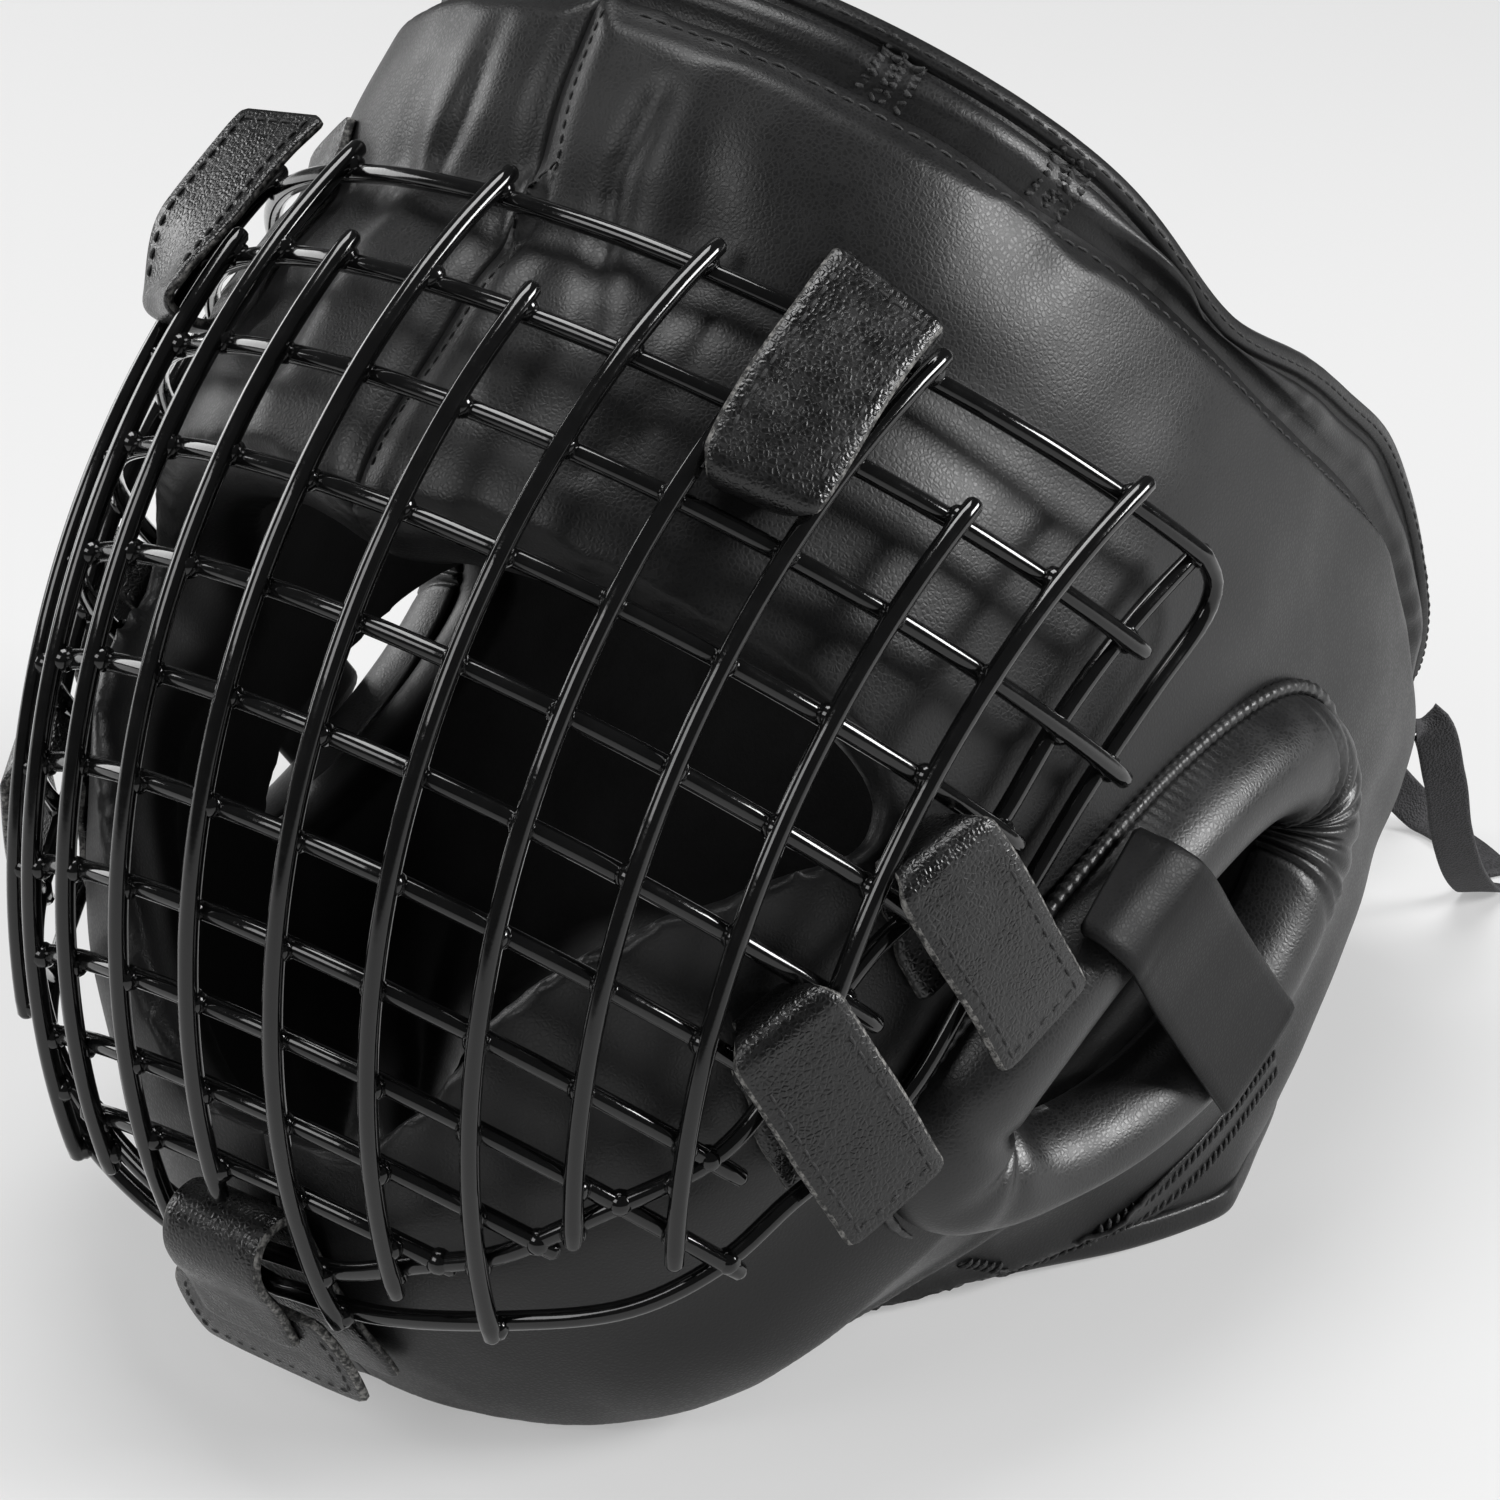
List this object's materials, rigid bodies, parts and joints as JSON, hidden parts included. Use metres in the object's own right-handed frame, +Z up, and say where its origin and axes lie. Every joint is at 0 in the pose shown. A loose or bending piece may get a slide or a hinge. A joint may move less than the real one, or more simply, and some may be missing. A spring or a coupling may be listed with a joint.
{
  "type": "full-face sparring headgear with wire grille",
  "caption": "Padded black leather sparring headgear with a curved welded wire face grille held by folded hook-and-loop straps, laid back on its neck edge as it rests on a floor.",
  "frame": {"origin": "on the floor under the middle of the headgear's box, the loose lace ends left out of the box", "axes": "+Z up from the floor it lies on, -Y the way the face looks, +X the wearer's left"},
  "size_m": [0.2564, 0.3959, 0.2805],
  "materials": {
    "shell_leather": "satin, fine grain",
    "binding_leather": "satin",
    "roll_leather": "satin, gathered",
    "strip_leather": "satin",
    "lining_leather": "matt, wrinkled",
    "grille_coat": "gloss black dip coat",
    "strap_leather": "gloss, coarse grain",
    "lace_fabric": "woven, matt"
  },
  "bodies": {
    "root": {"shell_left": "shell_leather", "shell_right": "shell_leather", "rim_band_left": "binding_leather", "rim_band_right": "binding_leather", "ear_ring_left": "roll_leather", "ear_ring_right": "roll_leather", "ear_strip_left": "strip_leather", "ear_strip_right": "strip_leather", "chin_pad": "lining_leather", "grille": "grille_coat", "strap_temple_left": "strap_leather", "strap_temple_right": "strap_leather", "strap_cheek_upper_left": "strap_leather", "strap_cheek_upper_right": "strap_leather", "strap_cheek_lower_left": "strap_leather", "strap_cheek_lower_right": "strap_leather", "strap_chin": "strap_leather", "crown_straps": "binding_leather", "lace_upper": "lace_fabric", "lace_middle": "lace_fabric", "lace_lower": "lace_fabric", "lace_tail_long": "lace_fabric", "lace_tail_short": "lace_fabric"}
  },
  "joints": []
}
